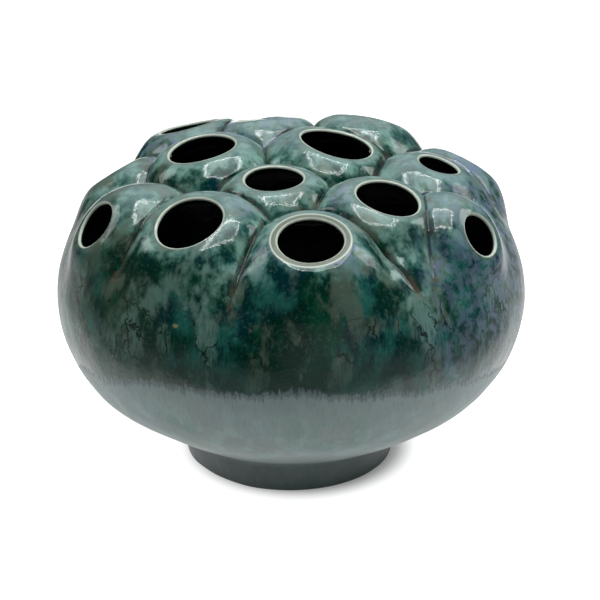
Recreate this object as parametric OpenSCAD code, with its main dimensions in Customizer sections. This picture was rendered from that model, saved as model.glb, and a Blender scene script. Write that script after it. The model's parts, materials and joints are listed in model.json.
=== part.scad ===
// Flower frog: a squat glazed bowl whose domed crown is a cluster of hollow pods.
// Each pod has one round mouth that holds a stem over the shared water reservoir.
// Model frame: +Z up, millimetres, origin at the centre of the foot on the table.

/* [Bowl] */
// Greatest radius of the bowl
belly_radius = 110; // [108:1:112]
// Height of the widest line above the table
belly_height = 82; // [81:0.5:83]
// Section radius of the rounded belly
belly_arc = 55; // [54:0.5:56]
// Section radius of the flatter lower flank
flank_arc = 300; // [280:10:320]
// Angle below level where the belly turns into the lower flank
flank_angle = 54; // [53:0.5:56]
// Thickness of the bowl wall
bowl_wall = 5; // [4:0.5:6]
// Thickness of the base disc over the foot
floor_wall = 6; // [5:0.5:8]
// Radius of the base disc, inside the lower wall
base_radius = 44; // [43:0.5:46]
// Height of the crown opening the pods are set into
deck_height = 128.4; // [127:0.2:130]

/* [Foot] */
// Height of the trimmed foot ring
foot_height = 16.5; // [15.5:0.5:17.5]
// How much smaller the foot is at the table than at the bowl
foot_taper = 4.3; // [3:0.1:5.5]
// Width of the foot ring at the bowl
foot_width = 11.5; // [9:0.5:13]
// Width of the bevel on both edges of the resting face
foot_bevel = 1.5; // [1:0.25:2]

/* [Pods] */
// Thickness of the pod wall
pod_wall = 4; // [3.5:0.25:4.5]
// Width of the flat lip around each mouth
lip_width = 2.5; // [2:0.25:3]
// Size of all the stem mouths against the standard ones
mouth_scale = 1; // [0.9:0.02:1.04]

/* [Hidden] */
// Pod rows: name, azimuth from the front, radius, height, tilt, tilt azimuth, mouth, ball
PODS = [
    ["crown_pod_1", -14, 30, 148, 6, -14, 13, 34],
    ["crown_pod_2", 126, 27, 149, 13, 80, 17, 38],
    ["crown_pod_3", -106, 43, 148, 11, -70, 15.5, 37],
    ["crown_pod_4", 43, 63, 145, 16, 45, 14, 36],
    ["crown_pod_5", 93, 69, 143, 17, 80, 9.5, 33],
    ["crown_pod_6", -168, 58.5, 147.5, 18, -168, 14, 37],
    ["ring_pod_1", 6, 82, 139, 20, -6, 14, 36],
    ["ring_pod_2", -34, 78, 140.5, 25, -32, 15, 38],
    ["ring_pod_3", -142, 80.5, 142, 18, -134, 15, 36.5],
    ["ring_pod_4", 149, 76, 144.5, 25, 152, 13.5, 36],
    ["shoulder_pod_1", -65, 96, 130, 52, -65, 11, 33],
    ["shoulder_pod_2", -112, 89.5, 128.5, 38, -124, 12, 31],
    ["shoulder_pod_3", -175, 99, 124, 60, -175, 11, 33],
    ["shoulder_pod_4", 115, 94.5, 130.5, 38, 126, 12.5, 31],
    ["shoulder_pod_5", 59, 98, 129, 56, 57, 10, 28]
];

// Columns of a pod row
AZIMUTH = 1;
RADIUS = 2;
HEIGHT = 3;
TILT = 4;
TILT_AZIMUTH = 5;
MOUTH = 6;
BALL = 7;

// Smoothness of the round parts
ROUND_STEPS = 72;
POD_STEPS = 40;
FLANK_STEPS = 360;

// Depth of the inner block of the section, as a share of the belly arc
CORE_DEPTH = 0.9;
// How far the bowl's lower edge laps down round the base disc
SEAT_DEPTH = 1;
// Reach of a cutting block, larger than the whole object
REACH = 400;

BOWL_COLOR = [0.30, 0.40, 0.41];
FOOT_COLOR = [0.33, 0.43, 0.44];
POD_COLORS = [[0.10, 0.35, 0.30], [0.16, 0.40, 0.38], [0.22, 0.44, 0.47]];

belly_centre = [belly_radius - belly_arc, belly_height];
belly_direction = [cos(flank_angle), -sin(flank_angle)];
flank_centre = belly_centre - (flank_arc - belly_arc) * belly_direction;
neck_radius = flank_centre[0] + sqrt(pow(flank_arc, 2) - pow(flank_centre[1] - foot_height, 2));
seat_height = foot_height - SEAT_DEPTH;
seat_radius = neck_radius - foot_taper * SEAT_DEPTH / (foot_height - foot_bevel);

// Direction a mouth faces
function facing(pod) = [
    sin(pod[TILT]) * sin(pod[TILT_AZIMUTH]),
    -sin(pod[TILT]) * cos(pod[TILT_AZIMUTH]),
    cos(pod[TILT])
];

// Centre of a mouth, on the outer face of its lip
function mouth_centre(pod) = [
    pod[RADIUS] * sin(pod[AZIMUTH]),
    -pod[RADIUS] * cos(pod[AZIMUTH]),
    pod[HEIGHT]
];

// Distance from the ball centre of a pod to its mouth plane
function mouth_rise(pod) = sqrt(pow(pod[BALL], 2) - pow(pod[MOUTH] + lip_width, 2));

// Centre of the ball a pod is formed on
function ball_centre(pod) = mouth_centre(pod) - mouth_rise(pod) * facing(pod);

// Turns +Z to a direction
module aim(direction) {
    rotate([0, acos(direction[2] / norm(direction)), atan2(direction[1], direction[0])])
        children();
}

// Half of the bowl section, drawn inset from the outside by a wall thickness
module bowl_section(inset, bottom, top) {
    turn_point = belly_centre + (belly_arc - inset) * belly_direction;
    core_bottom = belly_centre[1] - CORE_DEPTH * (belly_arc - inset);
    intersection() {
        translate([0, bottom])
            square([belly_radius + 1, top - bottom]);
        union() {
            translate(belly_centre)
                circle(r = belly_arc - inset, $fn = ROUND_STEPS);
            translate([0, core_bottom])
                square([belly_centre[0], top - core_bottom]);
            intersection() {
                translate(flank_centre)
                    circle(r = flank_arc - inset, $fn = FLANK_STEPS);
                square([belly_radius, turn_point[1]]);
            }
        }
    }
}

// The space the water stands in
module reservoir() {
    rotate_extrude($fn = ROUND_STEPS)
        bowl_section(bowl_wall, foot_height + floor_wall, deck_height - bowl_wall);
}

// Thrown base disc with its turned foot ring, and a ledge the bowl sits on
module foot() {
    inner_radius = neck_radius - foot_width;
    outer_bottom = neck_radius - foot_taper;
    color(FOOT_COLOR)
        rotate_extrude($fn = ROUND_STEPS)
            polygon([
                [0, foot_height + floor_wall],
                [0, foot_height],
                [inner_radius, foot_height],
                [inner_radius, foot_bevel],
                [inner_radius + foot_bevel, 0],
                [outer_bottom - foot_bevel, 0],
                [outer_bottom, foot_bevel],
                [seat_radius, seat_height],
                [base_radius, seat_height],
                [base_radius, foot_height + floor_wall]
            ]);
}

// Round wall from the foot's ledge to the crown, cut open where the pods are set in
module bowl() {
    color(BOWL_COLOR)
        difference() {
            union() {
                rotate_extrude($fn = ROUND_STEPS)
                    bowl_section(0, foot_height, deck_height);
                translate([0, 0, seat_height])
                    cylinder(r1 = seat_radius, r2 = neck_radius, h = SEAT_DEPTH, $fn = ROUND_STEPS);
            }
            reservoir();
            cylinder(r = base_radius, h = REACH, $fn = ROUND_STEPS);
            for (pod = PODS)
                translate(ball_centre(pod))
                    sphere(r = pod[BALL], $fn = POD_STEPS);
        }
}

// Removes everything past the flat seam between a pod and its neighbour
module seam_cut(pod, neighbour) {
    step = ball_centre(neighbour) - ball_centre(pod);
    distance = norm(step);
    seam = (pow(distance, 2) + pow(pod[BALL], 2) - pow(neighbour[BALL], 2)) / (2 * distance);
    aim(step)
        translate([-REACH / 2, -REACH / 2, seam])
            cube([REACH, REACH, REACH]);
}

// Hollow pod with a round mouth, open below to the reservoir
module pod(index) {
    own = PODS[index];
    color(POD_COLORS[index % len(POD_COLORS)])
        difference() {
            translate(ball_centre(own))
                difference() {
                    sphere(r = own[BALL], $fn = POD_STEPS);
                    sphere(r = own[BALL] - pod_wall, $fn = POD_STEPS);
                    aim(facing(own))
                        translate([-REACH / 2, -REACH / 2, mouth_rise(own)])
                            cube([REACH, REACH, REACH]);
                    aim(facing(own))
                        cylinder(r = own[MOUTH] * mouth_scale, h = REACH, $fn = POD_STEPS);
                    for (other = [0 : len(PODS) - 1])
                        if (other != index && norm(ball_centre(PODS[other]) - ball_centre(own))
                            < own[BALL] + PODS[other][BALL])
                            seam_cut(own, PODS[other]);
                }
            reservoir();
        }
}

foot();
bowl();
for (index = [0 : len(PODS) - 1])
    pod(index);
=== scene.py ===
"""Glazed stoneware flower frog: a foot, a bowl and fifteen hollow pods.

All shape work is in millimetres in the CAD frame, and each mesh is written in metres.
The outside is one smooth field (balls for the pods, a turned wall for the bowl), so that
every piece meets its neighbours on shared points with a shared slope.
"""

import json
import math
from types import SimpleNamespace

import bpy
import numpy as np
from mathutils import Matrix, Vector


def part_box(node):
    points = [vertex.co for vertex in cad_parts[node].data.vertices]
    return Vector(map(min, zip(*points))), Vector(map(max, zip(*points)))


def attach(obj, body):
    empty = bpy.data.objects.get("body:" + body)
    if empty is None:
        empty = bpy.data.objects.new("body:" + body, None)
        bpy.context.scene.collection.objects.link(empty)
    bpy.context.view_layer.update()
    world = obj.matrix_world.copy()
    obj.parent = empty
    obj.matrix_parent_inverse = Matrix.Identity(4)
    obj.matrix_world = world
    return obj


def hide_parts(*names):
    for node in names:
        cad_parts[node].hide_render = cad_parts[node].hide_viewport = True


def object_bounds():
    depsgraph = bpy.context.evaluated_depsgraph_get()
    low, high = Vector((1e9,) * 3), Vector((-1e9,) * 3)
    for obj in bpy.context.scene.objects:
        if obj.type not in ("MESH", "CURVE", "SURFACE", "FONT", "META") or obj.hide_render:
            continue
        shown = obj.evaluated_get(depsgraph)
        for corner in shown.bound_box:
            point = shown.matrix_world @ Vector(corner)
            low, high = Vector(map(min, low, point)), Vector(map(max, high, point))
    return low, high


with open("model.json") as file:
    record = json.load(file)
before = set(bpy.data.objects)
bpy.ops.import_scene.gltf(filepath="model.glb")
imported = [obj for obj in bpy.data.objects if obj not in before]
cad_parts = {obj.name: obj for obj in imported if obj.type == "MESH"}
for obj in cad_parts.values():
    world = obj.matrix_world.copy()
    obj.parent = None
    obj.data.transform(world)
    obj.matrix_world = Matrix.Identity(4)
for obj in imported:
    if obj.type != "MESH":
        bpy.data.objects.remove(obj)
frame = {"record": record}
cad_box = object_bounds()

MM = 0.001

# ---------------------------------------------------------------- sizes, in mm

BALL_RADIUS = {
    "crown_pod_1": 34, "crown_pod_2": 38, "crown_pod_3": 37, "crown_pod_4": 36,
    "crown_pod_5": 33, "crown_pod_6": 37, "ring_pod_1": 36, "ring_pod_2": 38,
    "ring_pod_3": 36.5, "ring_pod_4": 36, "shoulder_pod_1": 33, "shoulder_pod_2": 31,
    "shoulder_pod_3": 33, "shoulder_pod_4": 31, "shoulder_pod_5": 28,
}
# The clay left around each mouth; one pod has a wider, flatter lip.
LIP_WIDTH = 2.5
WIDE_LIPS = {"ring_pod_1": 4.0}
LIP_EDGE = 1.0
LIP_SOFTNESS, WIDE_LIP_SOFTNESS = 0.95, 0.45
POD_WALL = 4.0
BOWL_WALL = 5.0

# The turned wall: a belly arc, then a flatter flank arc from FLANK_ANGLE below the widest line.
BELLY_ARC = 55.0
BELLY_Z = 82.0
FLANK_ARC = 300.0
FLANK_ANGLE = math.radians(54)
FOOT_TAPER = 4.3
FOOT_WIDTH = 11.5
FOOT_EDGE = 1.8
RECESS_FILLET = 2.5
BASE_RADIUS = 44.0
BASE_THICKNESS = 6.0
SEAT_DEPTH = 1.0

# The pods end at the rim; inside them the wall's field stops at the deck.
RIM_Z = 97.0
DECK_Z = 126.0

# How softly the shapes run together: pod to pod, wall to deck, wall to foot, pod to wall.
CREASE_SOFTNESS = 0.7
DECK_SOFTNESS = 2.0
NECK_SOFTNESS = 1.0
CROWN_BLEND, SHOULDER_BLEND = 1.2, 3.4
BLEND_FROM, BLEND_TO = 70.0, 96.0
GROOVE_DEPTH, GROOVE_WIDTH = 1.0, 1.3
GROOVE_FROM, GROOVE_TO = 112.0, 126.0

# Mesh spacing along the creases and the rim, and rows of points over each surface.
CREASE_STEP = 0.85
RIM_STEP = 1.3
LIP_ZONE, LIP_RINGS, FALL_RINGS = 4.6, 13, 26
ROLL_RINGS, BORE_RINGS, INNER_RINGS = 7, 4, 16
SHOULDER_RINGS = 14
BOWL_RINGS, BOWL_INNER_RINGS = 72, 28
EDGE_RINGS, FOOT_RINGS = 6, 18
CEILING_RINGS, BASE_RINGS = 12, 14

# Rays start near the surface they look for: a share of a pod's ball, or a radius.
CAST_STEPS = 7
BALL_START, BALL_INNER_START = 0.8, 0.7
WALL_START, INNER_WALL_START = 90.0, 80.0
BELLY_START, FOOT_START = 70.0, 45.0

# The rim_mm of points that aren't near a mouth.
FAR = 100.0

BELLY_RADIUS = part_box("bowl")[1][0] / MM
FOOT_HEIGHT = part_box("bowl")[0][2] / MM + SEAT_DEPTH
BELLY_CENTRE = np.array([BELLY_RADIUS - BELLY_ARC, BELLY_Z])
TURN = np.array([math.cos(FLANK_ANGLE), -math.sin(FLANK_ANGLE)])
FLANK_CENTRE = BELLY_CENTRE - (FLANK_ARC - BELLY_ARC) * TURN
NECK_RADIUS = FLANK_CENTRE[0] + math.sqrt(FLANK_ARC**2 - (FLANK_CENTRE[1] - FOOT_HEIGHT) ** 2)

rng = np.random.default_rng(7)


# ---------------------------------------------------------------- the pods


class Pod:
    """One pod: the ball it is formed on and the mouth cut in it."""

    def __init__(self, mount):
        self.name = mount["name"].replace("mouth", "pod")
        self.facing = np.array(mount["axis"], float)
        self.facing /= np.linalg.norm(self.facing)
        self.mouth = mount["dims"]["r_mm"]
        self.ball = float(BALL_RADIUS[self.name])
        self.lip = WIDE_LIPS.get(self.name, LIP_WIDTH)
        self.softness = WIDE_LIP_SOFTNESS if self.name in WIDE_LIPS else LIP_SOFTNESS
        self.rise = math.sqrt(self.ball**2 - (self.mouth + self.lip) ** 2)
        lip_centre = np.array(mount["pos_m"]) / MM + self.facing * mount["dims"]["length_mm"] / 2
        self.centre = lip_centre - self.rise * self.facing
        self.side = np.cross([0, 0, 1], self.facing)
        self.side /= np.linalg.norm(self.side)
        self.up = np.cross(self.facing, self.side)
        self.oval = rng.uniform(0.012, 0.03), rng.uniform(0, math.tau)
        self.pear = rng.uniform(0.006, 0.016), rng.uniform(0, math.tau)
        self.sway = rng.uniform(0.15, 0.4), rng.uniform(0, math.tau)

    def directions(self, tilt, turn):
        """Unit vectors at an angle from the facing and a turn around it."""
        across = np.cos(turn)[..., None] * self.side + np.sin(turn)[..., None] * self.up
        return np.cos(tilt)[..., None] * self.facing + np.sin(tilt)[..., None] * across

    def angles(self, points):
        """Tilt and turn of points as seen from the ball centre."""
        away = points - self.centre
        along = away @ self.facing
        x, y = away @ self.side, away @ self.up
        return np.arctan2(np.hypot(x, y), along), np.arctan2(y, x)

    def mouth_radius(self, turn):
        """The mouth's radius, slightly oval and pear-shaped."""
        oval = self.oval[0] * np.cos(2 * (turn - self.oval[1]))
        pear = self.pear[0] * np.cos(3 * (turn - self.pear[1]))
        return self.mouth * (1 + oval + pear)

    def mouth_height(self, turn):
        """How far the mouth is from the ball centre, swaying a little around it."""
        return self.rise + self.sway[0] * np.cos(2 * (turn - self.sway[1]))

    def cut(self, points):
        """The outside field, cut off softly at the mouth."""
        away = points - self.centre
        turn = np.arctan2(away @ self.up, away @ self.side)
        above = away @ self.facing - self.mouth_height(turn)
        return -soft_min(np.stack([-outside(points), -above], -1), self.softness)


def soft_min(values, softness):
    """Smooth minimum over the last axis."""
    least = values.min(-1, keepdims=True)
    total = np.exp((least - values) / softness).sum(-1)
    return least[..., 0] - softness * np.log(total)


def smooth_step(value, start, end):
    """0 before the start, 1 after the end, and smooth between."""
    share = np.clip((value - start) / (end - start), 0, 1)
    return share * share * (3 - 2 * share)


# ---------------------------------------------------------------- the outside field

RIPPLES = 24
ripple_length = np.geomspace(11, 150, RIPPLES)
ripple_way = rng.normal(size=(RIPPLES, 3))
ripple_way /= np.linalg.norm(ripple_way, axis=1)[:, None]
ripple_phase = rng.uniform(0, math.tau, RIPPLES)
ripple_height = 0.0036 * ripple_length**0.75


def ripple(points):
    """Slight waves of thrown clay and poured glaze."""
    waves = np.sin(points @ (ripple_way / ripple_length[:, None] * math.tau).T + ripple_phase)
    return waves @ ripple_height


def ball_distances(points):
    """Distance from each point to each pod's ball."""
    return np.linalg.norm(points[:, None, :] - POD_CENTRES, axis=2) - POD_BALLS


def wall_distance(points):
    """Distance to the turned wall of the bowl and foot."""
    radius = np.hypot(points[:, 0], points[:, 1])
    height = points[:, 2]
    x, z = radius - BELLY_CENTRE[0], height - BELLY_CENTRE[1]
    belly = np.hypot(np.maximum(x, 0), z) - BELLY_ARC
    flank = np.hypot(radius - FLANK_CENTRE[0], height - FLANK_CENTRE[1]) - FLANK_ARC
    past_turn = x * -TURN[1] + z * TURN[0] < 0
    wall = np.where(past_turn & (z < 0), flank, belly)
    wall = -soft_min(np.stack([-wall, DECK_Z - height], -1), DECK_SOFTNESS)
    foot = np.maximum(radius - foot_radius(height), height - BELLY_Z / 2)
    return soft_min(np.stack([wall, foot], -1), NECK_SOFTNESS)


def foot_radius(height):
    """The foot narrows towards the table."""
    return NECK_RADIUS - FOOT_TAPER * (1 - height / FOOT_HEIGHT)


def pod_gap(balls):
    """How much farther the second nearest pod is than the nearest."""
    nearest = np.partition(balls, 1, axis=1)
    return nearest[:, 1] - nearest[:, 0]


def groove(points, balls):
    """The narrow line pressed between two pods, which fades out down the shoulder."""
    depth = GROOVE_DEPTH * smooth_step(points[:, 2], GROOVE_FROM, GROOVE_TO)
    return depth * np.exp(-(pod_gap(balls) / GROOVE_WIDTH) ** 2)


def outside(points):
    """Signed distance, near enough, to the outer surface."""
    balls = ball_distances(points)
    crown = soft_min(balls, CREASE_SOFTNESS)
    wall = wall_distance(points)
    radius = np.hypot(points[:, 0], points[:, 1])
    blend = CROWN_BLEND + (SHOULDER_BLEND - CROWN_BLEND) * smooth_step(radius, BLEND_FROM, BLEND_TO)
    joined = np.minimum(crown, wall) - blend * np.log1p(np.exp(-np.abs(crown - wall) / blend))
    return joined - ripple(points) + groove(points, balls)


def slope(points, shape=outside, step=0.05):
    """Unit outward directions of a field."""
    away = np.empty_like(points)
    for axis in range(3):
        shift = np.zeros(3)
        shift[axis] = step
        away[:, axis] = shape(points + shift) - shape(points - shift)
    return away / np.linalg.norm(away, axis=1)[:, None]


def cast(origin, ways, start, shape=outside, level=0.0):
    """Points where rays from inside the clay reach a level of a field."""
    reach = np.broadcast_to(np.asarray(start, float), len(ways)).copy()
    value = shape(origin + ways * reach[:, None]) - level
    move = -value
    for _ in range(CAST_STEPS):
        reach += move
        after = shape(origin + ways * reach[:, None]) - level
        moved = np.where(np.abs(move) > 1e-7, move, 1e-7)
        gain = np.clip((after - value) / moved, 0.35, 1.6)
        value = after
        move = -value / gain
    return origin + ways * reach[:, None]


pods = [Pod(m) for m in frame["record"]["mounts"] if "mouth" in m["name"]]
POD_CENTRES = np.array([pod.centre for pod in pods])
POD_BALLS = np.array([pod.ball for pod in pods])

# ---------------------------------------------------------------- cells of the crown

RIM = -1
COARSE_TURNS = 360
COARSE_TILTS = np.linspace(0.3, 2.0, 40)
HALVINGS = 15
CORNER_STEPS, CORNER_NUDGE = 12, 0.01
ROUGH_POINTS, TILT_MARGIN = 60, 0.2


def margin(index, points):
    """How far points are inside a pod's cell, and what lies past its edge."""
    balls = ball_distances(points)
    own = balls[:, index].copy()
    balls[:, index] = np.inf
    rival = balls.argmin(1)
    to_rival = balls.min(1) - own
    to_rim = points[:, 2] - RIM_Z
    return np.minimum(to_rival, to_rim), np.where(to_rim < to_rival, RIM, rival)


def gap_to(index, rival, points):
    """How far points are inside a pod's cell, towards one neighbour or the rim."""
    if rival == RIM:
        return points[:, 2] - RIM_Z
    balls = ball_distances(points)
    return balls[:, rival] - balls[:, index]


def edge_tilts(index, turn, inner, outer, inside):
    """Tilts at which rays leave a cell, by halving."""
    pod = pods[index]
    for _ in range(HALVINGS):
        middle = (inner + outer) / 2
        points = cast(pod.centre, pod.directions(middle, turn), pod.ball * BALL_START)
        within = inside(points)
        inner = np.where(within, middle, inner)
        outer = np.where(within, outer, middle)
    return (inner + outer) / 2


def trace_cell(index):
    """Coarse outline of a cell: its edge tilt and neighbour at each turn."""
    pod = pods[index]
    turns = np.arange(COARSE_TURNS) * math.tau / COARSE_TURNS
    turn, tilt = np.meshgrid(turns, COARSE_TILTS, indexing="ij")
    points = cast(pod.centre, pod.directions(tilt.ravel(), turn.ravel()), pod.ball * BALL_START)
    within = (margin(index, points)[0] > 0).reshape(turn.shape)
    last = np.argmax(~within, axis=1)
    edge = edge_tilts(index, turns, COARSE_TILTS[last - 1], COARSE_TILTS[last],
                      lambda p: margin(index, p)[0] > 0)
    points = cast(pod.centre, pod.directions(edge, turns), pod.ball * BALL_START)
    return turns, edge, margin(index, points)[1], points


def corner_point(members, guess):
    """The surface point where three cells meet, or two cells and the rim."""
    first, second, third = sorted(members, reverse=True)

    def misses(point):
        row = point[None]
        return np.array([
            outside(row)[0],
            gap_to(first, second, row)[0],
            gap_to(first, third, row)[0],
        ])

    point = guess.copy()
    for _ in range(CORNER_STEPS):
        here = misses(point)
        nudged = [misses(point + shift) for shift in np.eye(3) * CORNER_NUDGE]
        rates = (np.array(nudged) - here).T / CORNER_NUDGE
        point = point - np.linalg.solve(rates, here)
    return point


def even_edge(owner, rival, start, end, outline):
    """Evenly spaced points along the line where two cells meet."""
    pod = pods[owner]
    turns, tilts = outline
    first, last = pod.angles(np.array([start, end]))[1]
    last = first + (last - first + math.pi) % math.tau - math.pi

    def edge_points(turn):
        near = np.interp(turn % math.tau, turns, tilts, period=math.tau)
        tilt = edge_tilts(owner, turn, near - TILT_MARGIN, near + TILT_MARGIN,
                          lambda p: gap_to(owner, rival, p) > 0)
        return cast(pod.centre, pod.directions(tilt, turn), pod.ball * BALL_START)

    turn = np.linspace(first, last, ROUGH_POINTS)
    rough = edge_points(turn)
    length = np.concatenate([[0], np.cumsum(np.linalg.norm(np.diff(rough, axis=0), axis=1))])
    step = RIM_STEP if rival == RIM else CREASE_STEP
    count = max(2, round(length[-1] / step))
    even = np.interp(np.linspace(0, length[-1], count + 1)[1:-1], length, turn)
    return np.vstack([start, edge_points(even), end])


# Each cell is walked once around for its corners, then each edge between two cells is
# made once, so that both pieces use the same points.
outlines, corners, walks = [], {}, []
for index in range(len(pods)):
    turns, tilts, rivals, points = trace_cell(index)
    outlines.append((turns, tilts))
    walk = []
    for step in range(COARSE_TURNS):
        after = (step + 1) % COARSE_TURNS
        if rivals[step] != rivals[after]:
            key = tuple(sorted((index, int(rivals[step]), int(rivals[after]))))
            if key not in corners:
                corners[key] = corner_point(key, points[step])
            walk.append((key, int(rivals[after])))
    walks.append(walk)

edges = {}
for index, walk in enumerate(walks):
    for (start, rival), (end, _) in zip(walk, walk[1:] + walk[:1]):
        owner, other = max(index, rival), min(index, rival)
        key = (owner, other, *sorted((start, end)))
        if key not in edges:
            edges[key] = even_edge(owner, other, corners[key[2]], corners[key[3]], outlines[owner])


def cell_outline(index):
    """The closed outline of a cell, anticlockwise as seen from outside."""
    walk = walks[index]
    parts = []
    for (start, rival), (end, _) in zip(walk, walk[1:] + walk[:1]):
        key = (max(index, rival), min(index, rival), *sorted((start, end)))
        line = edges[key] if key[2] == start else edges[key][::-1]
        parts.append(line[:-1])
    return np.vstack(parts)


def rim_outline():
    """The closed line where the pods meet the bowl, anticlockwise as seen from above."""
    parts = []
    for key, line in edges.items():
        if key[1] == RIM:
            azimuth = np.arctan2(line[:, 1], line[:, 0])
            clockwise = math.remainder(azimuth[-1] - azimuth[0], math.tau) <= 0
            ordered = line[::-1] if clockwise else line
            parts.append(ordered[:-1])
    points = np.vstack(parts)
    return points[np.argsort(np.arctan2(points[:, 1], points[:, 0]))]


rim_loop = rim_outline()


# ---------------------------------------------------------------- meshes


def ring_solid(name, rings, slopes, inside_from, rim_mm=None, flat=(), poles=False, wide=0.0):
    """A closed solid from rings of points, each joined to the next and the last to the first.

    Rows climb the outside and come down the inside. Where a slope is missing the mesh's
    own is used. Bands named in flat are the cut faces between pieces, shaded flat. With
    poles, the first and last rings are single points and aren't joined.
    """
    rows, columns = rings.shape[:2]
    grid = np.arange(rows * columns).reshape(rows, columns)
    quads = np.stack([
        grid,
        np.roll(grid, -1, axis=1),
        np.roll(np.roll(grid, -1, axis=0), -1, axis=1),
        np.roll(grid, -1, axis=0),
    ], -1)
    vertex_of = grid.copy()
    if poles:
        quads = quads[:-1]
        vertex_of[0] = vertex_of[0, 0]
        vertex_of[-1] = vertex_of[-1, 0]
    corners = rings.reshape(-1, 3)[quads]
    weighted = np.cross(corners[..., 2, :] - corners[..., 0, :], corners[..., 3, :] - corners[..., 1, :])
    plain = weighted / np.maximum(np.linalg.norm(weighted, axis=-1, keepdims=True), 1e-12)
    own = np.zeros((rows * columns, 3))
    for band in range(len(quads)):
        if band not in flat:
            for corner in range(4):
                np.add.at(own, quads[band, :, corner], weighted[band])
    own = own.reshape(rows, columns, 3)
    if poles:
        own[[0, -1]] = own[[0, -1]].sum(1, keepdims=True)
    own /= np.maximum(np.linalg.norm(own, axis=2, keepdims=True), 1e-12)
    smooth = np.where(np.isnan(slopes), own, slopes).reshape(-1, 3)
    loop_slopes = smooth[quads]
    for band in flat:
        loop_slopes[band] = plain[band][:, None, :]

    used, numbers = np.unique(vertex_of, return_inverse=True)
    numbers = numbers.reshape(-1)
    faces, face_slopes = [], []
    for band in range(len(quads)):
        kept = [0, 1, 2, 3]
        if poles and band == 0:
            kept = [0, 2, 3]
        elif poles and band == len(quads) - 1:
            kept = [0, 1, 2]
        faces += numbers[quads[band][:, kept]].tolist()
        face_slopes.append(loop_slopes[band][:, kept].reshape(-1, 3))

    mesh = bpy.data.meshes.new(name + "_clay")
    mesh.from_pydata((rings.reshape(-1, 3)[used] * MM).tolist(), [], faces)
    mesh.polygons.foreach_set("use_smooth", [True] * len(mesh.polygons))
    inside = np.zeros((rows, columns))
    inside[inside_from:] = 1
    rim_mm = np.full((rows, columns), FAR) if rim_mm is None else rim_mm
    values = {
        "rim_mm": rim_mm,
        "gap_mm": pod_gap(ball_distances(rings.reshape(-1, 3))),
        "inside": inside,
        "wide_lip": np.full((rows, columns), wide),
    }
    for label, value in values.items():
        layer = mesh.attributes.new(label, "FLOAT", "POINT")
        layer.data.foreach_set("value", value.reshape(-1)[used].astype(np.float32))
    mesh.normals_split_custom_set(np.concatenate(face_slopes).tolist())
    piece = bpy.data.objects.new(name + "_clay", mesh)
    bpy.context.scene.collection.objects.link(piece)
    return piece


def ring_slopes(rings, shape=outside):
    """The slope at every point of a stack of rings."""
    return slope(rings.reshape(-1, 3), shape).reshape(rings.shape)


def inward(points, depth):
    """Points a wall's depth inside the given outer points."""
    way = -slope(points)
    return cast(points, -way, np.full(len(points), -depth), outside, -depth)


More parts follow.
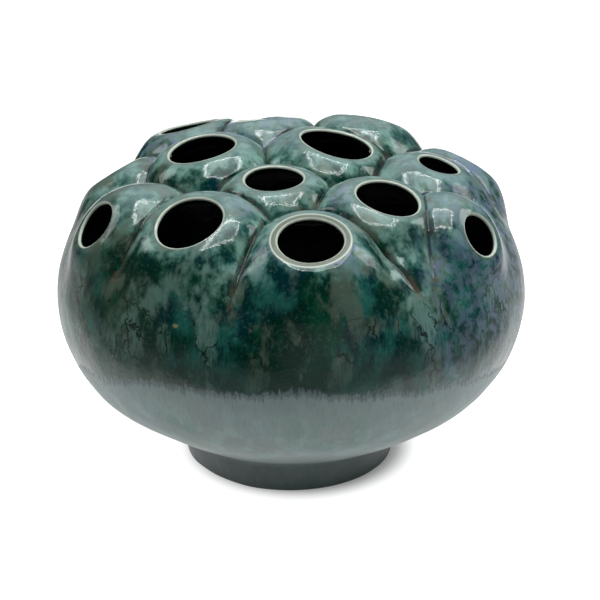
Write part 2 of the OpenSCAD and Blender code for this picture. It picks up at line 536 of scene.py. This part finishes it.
def build_pod(index):
    """A pod from its seam over the lip, down the bore and back along the inside."""
    pod = pods[index]
    edge = cell_outline(index)
    tilt_end, turn = pod.angles(edge)
    count = len(edge)
    radius = pod.mouth_radius(turn)
    height = pod.mouth_height(turn)
    tilt_start = np.arctan2(radius + LIP_EDGE, height)
    lip_span = np.minimum(LIP_ZONE / pod.ball, 0.6 * (tilt_end - tilt_start))

    lip_share = np.linspace(0, 1, LIP_RINGS, endpoint=False)
    fall_share = np.sin(np.linspace(0, math.pi / 2, FALL_RINGS)) * 0.6 + np.linspace(0, 0.4, FALL_RINGS)
    tilts = np.vstack([
        tilt_start + lip_share[:, None] * lip_span,
        tilt_start + lip_span + fall_share[:, None] * (tilt_end - tilt_start - lip_span),
    ])
    share = (tilts - tilt_start) / (tilt_end - tilt_start)
    ways = pod.directions(tilts.ravel(), np.tile(turn, len(tilts)))
    start = pod.ball * BALL_START
    free = cast(pod.centre, ways, start).reshape(*tilts.shape, 3)
    cut = cast(pod.centre, ways, start, pod.cut).reshape(*tilts.shape, 3)
    keep = smooth_step(share, 0.55, 1.0)[..., None]
    outer = cut + keep * (free - cut)
    outer[-1] = edge
    outer_slopes = ring_slopes(outer, pod.cut) * (1 - keep) + ring_slopes(outer) * keep
    outer_slopes /= np.linalg.norm(outer_slopes, axis=2, keepdims=True)

    across = np.cos(turn)[:, None] * pod.side + np.sin(turn)[:, None] * pod.up
    lean = np.arctan2((outer_slopes[0] * across).sum(1), outer_slopes[0] @ pod.facing)
    roll_centre = outer[0] - LIP_EDGE * outer_slopes[0]
    bend = lean - np.linspace(0, 1, ROLL_RINGS + 1)[1:, None] * (lean + math.pi / 2)
    roll_slopes = np.sin(bend)[..., None] * across + np.cos(bend)[..., None] * pod.facing
    roll = roll_centre + LIP_EDGE * roll_slopes

    foot_of_bore = cast(roll[-1], np.broadcast_to(pod.facing, (count, 3)),
                        np.full(count, -2 * POD_WALL), outside, -POD_WALL)
    bore_share = np.linspace(0, 1, BORE_RINGS + 1)[1:, None, None]
    bore = roll[-1] + bore_share * (foot_of_bore - roll[-1])

    inner_edge = inward(edge, POD_WALL)
    tilt_in, turn_in = pod.angles(foot_of_bore)
    tilt_out, turn_out = pod.angles(inner_edge)
    swing = (turn_out - turn_in + math.pi) % math.tau - math.pi
    inner_share = np.linspace(0, 1, INNER_RINGS + 1)[1:-1, None]
    inner_tilt = tilt_in + inner_share * (tilt_out - tilt_in)
    inner_turn = turn_in + inner_share * swing
    inner = cast(pod.centre, pod.directions(inner_tilt.ravel(), inner_turn.ravel()),
                 pod.ball * BALL_INNER_START, outside, -POD_WALL).reshape(*inner_tilt.shape, 3)

    rings = np.concatenate([outer[::-1], roll, bore, inner, inner_edge[None]])
    slopes = np.full(rings.shape, np.nan)
    slopes[:len(outer)] = outer_slopes[::-1]
    slopes[len(outer):len(outer) + len(roll)] = roll_slopes
    slopes[-1] = -slope(edge)

    away = rings - pod.centre
    along = away @ pod.facing
    off_axis = np.sqrt(np.maximum((away**2).sum(2) - along**2, 0))
    inside_from = len(outer) + len(roll)
    rim_mm = off_axis - radius
    rim_mm[inside_from:] = -LIP_EDGE
    wide = float(pod.name in WIDE_LIPS)
    return ring_solid(pod.name, rings, slopes, inside_from, rim_mm, flat=(len(rings) - 1,), wide=wide)


def turned(azimuth, height, start=WALL_START, level=0.0):
    """Points of the turned wall at given azimuths and heights."""
    azimuth, height = np.broadcast_arrays(azimuth, height)
    ways = np.stack([np.cos(azimuth), np.sin(azimuth), np.zeros(azimuth.shape)], -1)
    origin = np.stack([np.zeros(azimuth.shape), np.zeros(azimuth.shape), height], -1)
    points = cast(origin.reshape(-1, 3), ways.reshape(-1, 3), start, outside, level)
    return points.reshape(*azimuth.shape, 3)


def polar(azimuth, radius, height):
    """Points from azimuths, radii and heights."""
    azimuth, radius, height = np.broadcast_arrays(azimuth, radius, height)
    return np.stack([np.cos(azimuth) * radius, np.sin(azimuth) * radius, height], -1)


def from_belly(azimuth, fall, level=0.0):
    """Points of the wall seen from the middle of the widest line, below it by an angle."""
    azimuth, fall = np.broadcast_arrays(azimuth, fall)
    ways = np.stack([np.cos(azimuth) * np.cos(fall), np.sin(azimuth) * np.cos(fall), -np.sin(fall)], -1)
    middle = np.array([0, 0, BELLY_Z])
    points = cast(middle, ways.reshape(-1, 3), BELLY_START, outside, level)
    return points.reshape(*azimuth.shape, 3)


around = np.arctan2(rim_loop[:, 1], rim_loop[:, 0])
neck_fall = math.atan2(BELLY_Z - FOOT_HEIGHT + SEAT_DEPTH, foot_radius(FOOT_HEIGHT - SEAT_DEPTH))
neck = from_belly(around, neck_fall)


def build_bowl():
    """The bowl from the foot up to the rim, and back down its inside to the seat."""
    floor_z = FOOT_HEIGHT + BASE_THICKNESS
    reach = FLANK_ARC - BOWL_WALL
    floor_radius = FLANK_CENTRE[0] + math.sqrt(reach**2 - (FLANK_CENTRE[1] - floor_z) ** 2)
    floor_fall = math.atan2(BELLY_Z - floor_z, floor_radius)
    lower = from_belly(around, np.linspace(neck_fall, 0, BOWL_RINGS)[:-1, None])
    lower[0] = neck
    share = np.linspace(0, 1, SHOULDER_RINGS + 1)[:, None]
    upper = turned(around, BELLY_Z + share * (rim_loop[:, 2] - BELLY_Z))
    upper[-1] = rim_loop
    outer = np.concatenate([lower, upper])

    rim_inner = inward(rim_loop, POD_WALL)
    share = share[::-2]
    turn = np.arctan2(rim_inner[:, 1], rim_inner[:, 0]) - around
    azimuth = around + share * ((turn + math.pi) % math.tau - math.pi)
    height = BELLY_Z + share * (rim_inner[:, 2] - BELLY_Z)
    depth = BOWL_WALL + share[:, 0] * (POD_WALL - BOWL_WALL)
    upper_inner = np.stack([
        turned(*row, INNER_WALL_START, -wall) for *row, wall in zip(azimuth, height, depth)
    ])
    upper_inner[0] = rim_inner
    lower_inner = from_belly(around, np.linspace(0, floor_fall, BOWL_INNER_RINGS)[1:, None], -BOWL_WALL)
    lower_inner[-1, :, 2] = floor_z
    seat_z = FOOT_HEIGHT - SEAT_DEPTH
    seat = np.stack([polar(around, BASE_RADIUS, floor_z), polar(around, BASE_RADIUS, seat_z)])
    rings = np.concatenate([outer, upper_inner, lower_inner, seat])
    slopes = np.full(rings.shape, np.nan)
    slopes[:len(outer)] = ring_slopes(outer)
    last = len(rings) - 1
    cuts = (len(outer) - 1, last - 2, last - 1, last)
    return ring_solid("bowl", rings, slopes, len(outer), flat=cuts)


def build_foot():
    """The foot from its recess, under the ring, up its side and over the base."""
    floor_z = FOOT_HEIGHT + BASE_THICKNESS
    recess_radius = NECK_RADIUS - FOOT_WIDTH
    bend = np.linspace(0, math.pi / 2, EDGE_RINGS)[:, None]
    flat_radius = recess_radius - RECESS_FILLET
    ceiling = polar(around, np.linspace(0, flat_radius, CEILING_RINGS)[:, None], FOOT_HEIGHT)
    corner = polar(around, flat_radius + RECESS_FILLET * np.sin(bend),
                   FOOT_HEIGHT - RECESS_FILLET * (1 - np.cos(bend)))
    inner_edge = polar(around, recess_radius + FOOT_EDGE * (1 - np.cos(bend)),
                       FOOT_EDGE * (1 - np.sin(bend)))
    share = np.linspace(0, 1, FOOT_RINGS)[:, None]
    side = turned(around, FOOT_EDGE + share * (neck[:, 2] - FOOT_EDGE), FOOT_START)
    side[-1] = neck
    low_radius = np.hypot(side[0, :, 0], side[0, :, 1])
    outer_edge = polar(around, low_radius - FOOT_EDGE * (1 - np.sin(bend)),
                       FOOT_EDGE * (1 - np.cos(bend)))
    ledge = polar(around, BASE_RADIUS, FOOT_HEIGHT - SEAT_DEPTH)
    top = polar(around, np.linspace(BASE_RADIUS, 0, BASE_RINGS)[:, None], floor_z)
    rings = np.concatenate([ceiling, corner[1:], inner_edge, outer_edge[:-1], side, ledge[None], top])
    slopes = np.full(rings.shape, np.nan)
    inside_from = len(rings) - len(top) - 1
    slopes[inside_from - len(side):inside_from] = ring_slopes(side)
    return ring_solid("foot", rings, slopes, inside_from, flat=(inside_from - 1, inside_from), poles=True)


pieces = [build_pod(index) for index in range(len(pods))]
pieces += [build_bowl(), build_foot()]

# ---------------------------------------------------------------- shader nodes

OBJECT_PLACE, NORMAL = 3, 1


class Nodes:
    """Short calls that add nodes to one node tree."""

    def __init__(self, tree):
        self.tree = tree

    def add(self, kind, inputs=(), output=0, **settings):
        """Adds a node, links or sets its inputs, and gives one of its outputs."""
        node = self.tree.nodes.new(kind)
        for key, value in settings.items():
            setattr(node, key, value)
        for key, value in dict(inputs).items():
            if isinstance(value, bpy.types.NodeSocket):
                self.tree.links.new(value, node.inputs[key])
            else:
                node.inputs[key].default_value = value
        return node.outputs[output] if node.outputs else None

    def math(self, operation, *values):
        return self.add("ShaderNodeMath", enumerate(values), operation=operation)

    def product(self, first, *others):
        for value in others:
            first = self.math("MULTIPLY", first, value)
        return first

    def total(self, first, *others):
        for value in others:
            first = self.math("ADD", first, value)
        return first

    def vector(self, operation, *values):
        inputs = dict(enumerate(values))
        if operation == "SCALE":
            inputs["Scale"] = inputs.pop(1)
        output = int(operation == "LENGTH")
        return self.add("ShaderNodeVectorMath", inputs, output, operation=operation)

    def split(self, vector):
        """The x, y and z of a vector."""
        return [self.add("ShaderNodeSeparateXYZ", {0: vector}, axis) for axis in range(3)]

    def join(self, x, y):
        """A vector in the plane z = 0."""
        return self.add("ShaderNodeCombineXYZ", {0: x, 1: y})

    def ramp(self, value, start, end, low=0.0, high=1.0):
        """Smooth change from low to high while the value goes from start to end."""
        inputs = {0: value, 1: start, 2: end, 3: low, 4: high}
        return self.add("ShaderNodeMapRange", inputs, interpolation_type="SMOOTHSTEP")

    def noise(self, place, size, detail, roughness, bend=0.0):
        return self.add("ShaderNodeTexNoise", {
            "Vector": place, "Scale": 1 / size, "Detail": detail, "Roughness": roughness,
            "Distortion": bend,
        })

    def shake(self, place, source, size, detail, reach):
        """A place pushed about by a noise that is read at the source."""
        inputs = {"Vector": source, "Scale": 1 / size, "Detail": detail}
        way = self.add("ShaderNodeTexNoise", inputs, 1)
        return self.vector("ADD", place, self.vector("SCALE", way, reach))

    def cells(self, place, size, output=0, feature="F1"):
        inputs = {"Vector": place, "Scale": 1 / size}
        return self.add("ShaderNodeTexVoronoi", inputs, output, feature=feature)

    def blend(self, share, under, over):
        """The colour under, covered to a share by the colour over."""
        return self.add("ShaderNodeMix", {0: share, 6: under, 7: over}, 2, data_type="RGBA")

    def attribute(self, label):
        return self.add("ShaderNodeAttribute", output=2, attribute_name=label)


def new_material(name):
    material = bpy.data.materials.new(name)
    material.use_nodes = True
    material.node_tree.nodes.clear()
    return material, Nodes(material.node_tree)


def tone(red, green, blue):
    """A screen colour, 0 to 255, as linear light."""
    steps = np.array([red, green, blue]) / 255
    linear = np.where(steps <= 0.04045, steps / 12.92, ((steps + 0.055) / 1.055) ** 2.4)
    return (*linear.tolist(), 1.0)


# ---------------------------------------------------------------- glaze

DEEP_GREEN = tone(0, 52, 40)
DEEP_TEAL = tone(0, 54, 60)
GREEN = tone(8, 80, 56)
TEAL = tone(42, 112, 102)
PALE_TEAL = tone(132, 176, 164)
CLOUD = tone(108, 128, 112)
LAVENDER = tone(126, 146, 172)
OLIVE = tone(84, 98, 80)
PAINTED_TOP_SHEEN = tone(172, 186, 192)
LIP = tone(224, 235, 220)
WIDE_BAND = tone(116, 124, 106)
LIP_BAND = tone(112, 138, 122)
CRACK_AND_CREASE_SHADE = tone(6, 16, 16)
RUST = tone(132, 102, 82)
STRAW = tone(190, 174, 118)
PAINTED_CREASE_HIGHLIGHT = tone(112, 104, 100)
LOWER = tone(98, 113, 112)
LOWER_TEAL = tone(76, 104, 100)
LOWER_PINK = tone(106, 108, 107)
LOWER_BLUE = tone(90, 106, 115)
LOWER_LIGHT = tone(133, 153, 152)
LOWER_DARK = tone(48, 62, 60)
FOOT = tone(16, 40, 40)
INSIDE = tone(10, 16, 14)

# The upper glaze stops BREAK_Z above the table, and BREAK_RISE higher in front.
BREAK_Z, BREAK_RISE, BREAK_SOFTNESS = 50.0, 30.0, 1.5
UPPER_ROUGHNESS, LOWER_ROUGHNESS = 0.08, 0.42
GLAZE_IOR = 1.47


def glaze_places(paint):
    """The places, directions and noises that the glaze is painted by, in millimetres."""
    at = SimpleNamespace()
    at.place = paint.vector("SCALE", paint.add("ShaderNodeTexCoord", output=OBJECT_PLACE), 1 / MM)
    at.x, y, at.z = paint.split(at.place)
    at.facing_up = paint.split(paint.add("ShaderNodeNewGeometry", output=NORMAL))[2]
    at.azimuth = paint.math("ARCTAN2", y, at.x)
    at.around = paint.product(at.azimuth, BELLY_RADIUS)
    at.rim = paint.attribute("rim_mm")
    at.gap = paint.attribute("gap_mm")
    at.inside = paint.attribute("inside")
    at.wide_lip = paint.attribute("wide_lip")
    at.low_on_shoulder = paint.ramp(at.z, 120, 96)

    flow = paint.vector("MULTIPLY", at.place, (1.0, 1.0, 0.55))
    at.cloud = paint.noise(flow, 24, 3, 0.5, 0.2)
    at.mottle = paint.noise(flow, 8, 4, 0.56, 0.15)
    at.cloudy = paint.noise(paint.vector("ADD", flow, (3.0, 71.0, 29.0)), 12, 4, 0.56, 0.15)
    at.hue = paint.noise(paint.vector("ADD", at.place, (41.0, 13.0, 7.0)), 34, 3, 0.5)
    at.spots = paint.noise(paint.vector("ADD", at.place, (19.0, 5.0, 53.0)), 5, 3, 0.6, 0.3)
    at.grain = paint.noise(at.place, 1.6, 3, 0.6)
    runs = paint.join(at.around, paint.product(at.z, 0.16))
    at.streak = paint.noise(runs, 2.6, 4, 0.65)
    at.fine_streak = paint.noise(runs, 0.9, 2, 0.6)
    return at


def upper_glaze(paint, at):
    """Mottled green, dark on the sides of the pods and pale and bluish on their tops. The pale tops are
    partly thin glaze and partly painted top light, the faces that look up get a painted sheen, and the
    right side a painted lavender reflection.
    """
    side = paint.blend(paint.ramp(at.mottle, 0.46, 0.64), DEEP_GREEN, GREEN)
    teal = paint.blend(paint.ramp(at.mottle, 0.40, 0.58), DEEP_TEAL, TEAL)
    side = paint.blend(paint.ramp(at.hue, 0.46, 0.58), side, teal)
    pale = paint.blend(paint.ramp(at.cloud, 0.44, 0.56), CLOUD, PALE_TEAL)
    side = paint.blend(paint.product(paint.ramp(at.cloudy, 0.50, 0.63), 0.7), side, pale)

    top = paint.blend(paint.ramp(at.mottle, 0.38, 0.60), TEAL, PALE_TEAL)
    top = paint.blend(paint.product(paint.ramp(at.cloudy, 0.50, 0.62), 0.7), top, CLOUD)
    top = paint.blend(paint.product(paint.ramp(at.spots, 0.54, 0.66), 0.5), top, GREEN)
    bluish = paint.product(paint.ramp(at.hue, 0.54, 0.64), paint.ramp(at.spots, 0.58, 0.42))
    top = paint.blend(bluish, top, LAVENDER)

    # Paler tops: partly the thin glaze's own colour, partly painted top light where the roof light falls.
    ragged = paint.product(paint.math("SUBTRACT", at.mottle, 0.5), 1.2)
    on_top = paint.ramp(paint.total(at.facing_up, ragged), 0.48, 0.88)
    color = paint.blend(on_top, side, top)
    # Painted sheen: a pale haze on the faces that look up.
    color = paint.blend(paint.product(paint.ramp(at.facing_up, 0.72, 1.0), 0.4), color, PAINTED_TOP_SHEEN)
    color = paint.blend(paint.product(paint.ramp(at.grain, 0.5, 0.75), 0.2), color, PALE_TEAL)

    # Painted reflection: a lavender sheen in patches on the right side.
    right = paint.product(paint.ramp(at.x, 35, 105), paint.ramp(at.spots, 0.60, 0.42))
    color = paint.blend(paint.product(right, 0.72), color, LAVENDER)
    left = paint.product(paint.ramp(at.x, -25, -95), paint.ramp(at.cloudy, 0.40, 0.58))
    color = paint.blend(paint.product(left, 0.5), color, OLIVE)

    pale_runs = paint.product(at.low_on_shoulder, paint.ramp(at.streak, 0.50, 0.70))
    color = paint.blend(paint.product(pale_runs, 0.2), color, TEAL)
    dark_runs = paint.product(at.low_on_shoulder, paint.ramp(at.fine_streak, 0.50, 0.36))
    return paint.blend(paint.product(dark_runs, 0.5), color, DEEP_GREEN)


def creases(paint, at, color):
    """Painted highlights in patches on the flanks of each crease, and a dark line in its bottom, partly
    pooled glaze and partly painted shade.
    """
    high = paint.ramp(at.z, GROOVE_FROM, GROOVE_TO)
    # Painted highlight: pale patches on the flanks beside each crease.
    flank = paint.product(paint.ramp(at.gap, 4.5, 1.2), paint.ramp(at.spots, 0.42, 0.60))
    color = paint.blend(paint.product(flank, high, 0.4), color, PAINTED_CREASE_HIGHLIGHT)
    # The dark line in the bottom of each crease is partly pooled glaze and partly painted shade.
    line = paint.ramp(at.gap, 1.0, 0.2)
    return paint.blend(paint.product(line, high, 0.8), color, CRACK_AND_CREASE_SHADE)


def cracks(paint, at, color):
    """Dark crawls in the glaze, which run down the pot."""
    runs = paint.join(at.around, paint.product(at.z, 0.6))
    web = paint.cells(paint.shake(runs, at.place, 4, 4.0, 7.0), 12, feature="DISTANCE_TO_EDGE")
    crack = paint.product(paint.ramp(web, 0.042, 0.018), paint.ramp(at.cloudy, 0.52, 0.55))
    crack = paint.product(crack, paint.ramp(at.z, 118, 104))
    return paint.blend(paint.product(crack, 0.8), color, CRACK_AND_CREASE_SHADE)


def flecks(paint, at, color):
    """A few straw-coloured specks, and rust where the creases end."""
    place = paint.shake(at.place, at.place, 6, 3.0, 9.0)
    near_middle = paint.ramp(paint.cells(place, 11), 0.22, 0.10)
    pick = paint.add("ShaderNodeSeparateColor", {0: paint.cells(place, 11, output=1)})
    fleck = paint.product(near_middle, paint.math("GREATER_THAN", pick, 0.95))
    color = paint.blend(paint.product(fleck, 0.7), color, STRAW)
    crease_end = paint.product(paint.ramp(at.z, 111, 115), paint.ramp(at.z, 123, 118))
    rust = paint.product(crease_end, paint.ramp(at.gap, 2.4, 0.8), paint.ramp(at.spots, 0.44, 0.54))
    return paint.blend(paint.product(rust, 0.35), color, RUST)


def lower_glaze(paint, at):
    """Satin grey-blue, darkened under the belly by painted shade, darker still on the foot, and bluer on
    the right side as a painted reflection.
    """
    color = paint.blend(paint.ramp(at.hue, 0.42, 0.58), LOWER_TEAL, LOWER)
    color = paint.blend(paint.product(paint.ramp(at.cloudy, 0.46, 0.64), 0.6), color, LOWER_PINK)
    color = paint.blend(paint.product(paint.ramp(at.cloud, 0.48, 0.60), 0.7), color, LOWER_BLUE)
    color = paint.blend(paint.product(paint.ramp(at.mottle, 0.46, 0.62), 0.22), color, PALE_TEAL)
    color = paint.blend(paint.product(paint.ramp(at.spots, 0.50, 0.36), 0.2), color, TEAL)
    color = paint.blend(paint.product(paint.ramp(at.grain, 0.42, 0.66), 0.3), color, CLOUD)
    # Painted reflection: a bluer tint in patches on the right side.
    right = paint.product(paint.ramp(at.x, 30, 105), paint.ramp(at.spots, 0.62, 0.40))
    color = paint.blend(right, color, LOWER_BLUE)
    color = paint.blend(paint.product(paint.ramp(at.z, 46, 80), 0.75), color, LOWER_LIGHT)
    color = paint.blend(paint.product(paint.ramp(at.fine_streak, 0.52, 0.66), 0.18), color, LOWER_DARK)
    # Painted shade: the bowl darkens towards the foot.
    color = paint.blend(paint.product(paint.ramp(at.z, 60, 16), 0.9), color, LOWER_DARK)
    foot = paint.blend(paint.product(paint.ramp(at.mottle, 0.42, 0.62), 0.4), FOOT, LOWER_DARK)
    return paint.blend(paint.ramp(at.z, FOOT_HEIGHT + 0.5, FOOT_HEIGHT - 1.5), color, foot)


def height_over_break(paint, at):
    """Millimetres above the upper glaze's edge, which sags and runs in drops."""
    front = paint.math("MAXIMUM", paint.product(paint.math("SINE", at.azimuth), -1), 0)
    waves = [
        paint.product(paint.math("SUBTRACT", noise, 0.5), size)
        for noise, size in ((at.streak, 10), (at.fine_streak, 5), (at.hue, 12))
    ]
    edge = paint.total(at.z, *waves, -BREAK_Z)
    return paint.math("SUBTRACT", edge, paint.product(front, BREAK_RISE))


def lips(paint, at, color, wide_band):
    """A pale line and a greyer band around each mouth, and two lines on the wide lip. The pale lines are
    partly thin glaze on the edge and partly painted highlight.
    """
    band = paint.product(paint.ramp(at.rim, 3.6, 1.2), paint.ramp(at.rim, -0.6, 0.2))
    color = paint.blend(paint.product(band, 0.45), color, LIP_BAND)
    color = paint.blend(paint.product(wide_band, 0.8), color, WIDE_BAND)
    # Pale lines: partly thin glaze on the edge, partly painted highlight of the rounded lip.
    outer = paint.product(paint.ramp(at.rim, 3.7, 3.3), paint.ramp(at.rim, 2.5, 2.9), at.wide_lip)
    color = paint.blend(paint.product(outer, 0.85), color, LIP)
    line = paint.product(paint.ramp(at.rim, 1.0, 0.45), paint.ramp(at.rim, -0.5, -0.1))
    return paint.blend(paint.product(line, 0.9), color, LIP)


def glaze_bump(paint, at, is_upper):
    """The thickness of the glaze: pooled, grainy, and thicker above the break."""
    swell = paint.total(
        paint.product(at.mottle, 0.12), paint.product(at.grain, 0.035),
        paint.product(at.spots, 0.16), paint.product(is_upper, 0.22),
        paint.product(at.streak, at.low_on_shoulder, 0.10),
    )
    return paint.add("ShaderNodeBump", {"Strength": 1.0, "Distance": MM, "Height": swell})


def glaze_material(name):
    """The whole pot's glaze, so that every piece agrees with its neighbours."""
    material, paint = new_material(name)
    at = glaze_places(paint)
    over = height_over_break(paint, at)
    is_upper = paint.ramp(over, -BREAK_SOFTNESS, BREAK_SOFTNESS)

    upper = upper_glaze(paint, at)
    upper = creases(paint, at, upper)
    upper = cracks(paint, at, upper)
    upper = flecks(paint, at, upper)
    pooled = paint.product(paint.ramp(over, 26, 8), paint.ramp(at.cloud, 0.34, 0.48))
    upper = paint.blend(paint.product(pooled, 0.7), upper, DEEP_GREEN)
    color = paint.blend(is_upper, lower_glaze(paint, at), upper)
    break_line = paint.product(paint.ramp(over, -3, -1), paint.ramp(over, 2.5, 0))
    color = paint.blend(paint.product(break_line, 0.5), color, DEEP_TEAL)

    wide_band = paint.product(paint.ramp(at.rim, 3.2, 2.7), paint.ramp(at.rim, -0.2, 0.4), at.wide_lip)
    color = lips(paint, at, color, wide_band)
    color = paint.blend(at.inside, color, INSIDE)

    on_flank = paint.product(paint.ramp(paint.math("ABSOLUTE", at.x), 82, 104), is_upper)
    rough = paint.total(
        paint.product(is_upper, UPPER_ROUGHNESS - LOWER_ROUGHNESS), LOWER_ROUGHNESS,
        paint.product(paint.ramp(at.grain, 0.5, 0.8), 0.05),
        paint.product(wide_band, 0.25), paint.product(on_flank, 0.26),
    )
    shader = paint.add("ShaderNodeBsdfPrincipled", {
        "Base Color": color, "Roughness": rough, "IOR": GLAZE_IOR,
        "Normal": glaze_bump(paint, at, is_upper),
    })
    paint.add("ShaderNodeOutputMaterial", {0: shader})
    return material


materials = {slot: glaze_material(slot) for slot in ("pod_glaze", "bowl_glaze", "foot_glaze")}
for piece in pieces:
    node = piece.name.removesuffix("_clay")
    slot = f"{node}_glaze" if node in ("foot", "bowl") else "pod_glaze"
    piece.data.materials.append(materials[slot])
    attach(piece, "root")
    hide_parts(node)

# ---------------------------------------------------------------- studio, in metres

# The camera looks at a point just under half the pot's height.
MIDDLE = np.array([0, 0, cad_box[1][2] * 0.49])
EYE_ELEVATION, EYE_DISTANCE = 23.5, 0.9
SENSOR, LENS = 36.0, 113.64
SHIFT_X, SHIFT_Y = 0.0163, 0.0022

# A square ring of light strips over the pot, with a dimmer roof inside it, and two side boxes.
TENT_HEIGHT, TENT_SHIFT = 0.95, 0.12
RING_HALF, STRIP_WIDTH = 0.33, 0.045
ROOF_RISE, ROOF_SIDE = 0.02, 1.7 * RING_HALF
STRIP_RADIANCE, ROOF_RADIANCE = 17, 2.5
RIGHT_RADIANCE, LEFT_RADIANCE = 3.5, 2.5
BOX_SIZE, BOX_DISTANCE = (0.42, 0.5), 1.3

# The floor glows in the camera's view and fades beside and before it; its dimming by the foot is a
# painted contact shadow.
FLOOR_HALF = 6.0
FLOOR_GLOW = 1.0
GLOW_HALF, GLOW_SPREAD, SIDE_FADE = 0.17, 0.17, 0.16
GLOW_FRONT, FRONT_FADE = -0.16, 0.07
SHADE_FROM, SHADE_TO, SHADE_SHIFT = 0.045, 0.060, 0.004
SHADE_GLOW = 0.2

# The sky's strength from front to back, and how much more it gives high up behind the pot.
SKY_FRONT, SKY_BACK, SKY_LIFT = 0.18, 0.65, 2.4


def aim(thing, place, target):
    thing.location = Vector(place)
    thing.rotation_euler = (Vector(target) - thing.location).to_track_quat("-Z", "Y").to_euler()


def in_scene(name, data):
    thing = bpy.data.objects.new(name, data)
    bpy.context.scene.collection.objects.link(thing)
    return thing


def towards(azimuth, elevation, distance):
    """A place in the studio: azimuth from the front to the right, elevation up."""
    turn, rise = math.radians(azimuth), math.radians(elevation)
    way = (math.sin(turn) * math.cos(rise), -math.cos(turn) * math.cos(rise), math.sin(rise))
    return MIDDLE + distance * np.array(way)


def build_camera():
    camera = bpy.data.cameras.new("camera")
    camera.sensor_width = SENSOR
    camera.lens = LENS
    camera.shift_x, camera.shift_y = SHIFT_X, SHIFT_Y
    thing = in_scene("camera", camera)
    aim(thing, towards(0, EYE_ELEVATION, EYE_DISTANCE), MIDDLE)
    bpy.context.scene.camera = thing


def panel(name, place, target, size, radiance):
    """A rectangular light of a given size and brightness."""
    light = bpy.data.lights.new(name, "AREA")
    light.shape = "RECTANGLE"
    light.size, light.size_y = size
    light.energy = radiance * math.pi * size[0] * size[1]
    aim(in_scene(name, light), place, target)


def build_lights():
    middle = MIDDLE + (TENT_SHIFT, 0, TENT_HEIGHT)
    down = np.array([0, 0, 1])
    for index, out in enumerate(([1, 0, 0], [0, 1, 0], [-1, 0, 0], [0, -1, 0])):
        place = middle + RING_HALF * np.array(out)
        long_in_x = out[0] == 0
        size = (2 * RING_HALF, STRIP_WIDTH) if long_in_x else (STRIP_WIDTH, 2 * RING_HALF)
        panel(f"strip_{index}", place, place - down, size, STRIP_RADIANCE)
    panel("tent_roof", middle + ROOF_RISE * down, middle - down, (ROOF_SIDE, ROOF_SIDE), ROOF_RADIANCE)
    panel("right_box", towards(112, 35, BOX_DISTANCE), MIDDLE, BOX_SIZE, RIGHT_RADIANCE)
    panel("left_box", towards(-112, 33, BOX_DISTANCE), MIDDLE, BOX_SIZE, LEFT_RADIANCE)


def floor_glow(paint):
    """Emission: full in the camera's view, dimmed around the foot as a painted contact shadow, none
    elsewhere.
    """
    spot = paint.add("ShaderNodeTexCoord", output=OBJECT_PLACE)
    across, along, _ = paint.split(spot)
    front = paint.ramp(along, GLOW_FRONT - FRONT_FADE, GLOW_FRONT)
    beyond = paint.math("SUBTRACT", paint.math("ABSOLUTE", across), paint.product(along, GLOW_SPREAD))
    sides = paint.ramp(beyond, GLOW_HALF + SIDE_FADE, GLOW_HALF)
    from_foot = paint.vector("LENGTH", paint.vector("SUBTRACT", spot, (SHADE_SHIFT, 0.0, 0.0)))
    painted_foot_shadow = paint.ramp(from_foot, SHADE_FROM, SHADE_TO, low=SHADE_GLOW)
    return paint.product(front, FLOOR_GLOW, sides, painted_foot_shadow)


def build_floor():
    corners = [(x * FLOOR_HALF, y * FLOOR_HALF, 0) for x, y in ((-1, -1), (1, -1), (1, 1), (-1, 1))]
    mesh = bpy.data.meshes.new("floor")
    mesh.from_pydata(corners, [], [(0, 1, 2, 3)])
    material, paint = new_material("floor_paint")
    shader = paint.add("ShaderNodeBsdfPrincipled", {
        "Base Color": tone(205, 205, 205), "Roughness": 0.9,
        "Emission Color": tone(255, 255, 255), "Emission Strength": floor_glow(paint),
    })
    paint.add("ShaderNodeOutputMaterial", {0: shader})
    mesh.materials.append(material)
    in_scene("floor", mesh)


def build_sky():
    world = bpy.data.worlds.new("studio")
    world.use_nodes = True
    paint = Nodes(world.node_tree)
    aside, behind, overhead = paint.split(paint.add("ShaderNodeTexCoord"))
    base = paint.ramp(behind, -0.8, 0.2, SKY_FRONT, SKY_BACK)
    high_behind = paint.product(paint.ramp(behind, 0.0, 0.7), paint.ramp(overhead, 0.05, 0.45))
    middle = paint.ramp(paint.math("ABSOLUTE", aside), 0.75, 0.3)
    strength = paint.total(base, paint.product(high_behind, middle, SKY_LIFT))
    world.node_tree.links.new(strength, world.node_tree.nodes["Background"].inputs[1])
    bpy.context.scene.world = world


build_camera()
build_lights()
build_floor()
build_sky()
bpy.context.scene.view_settings.view_transform = "Standard"
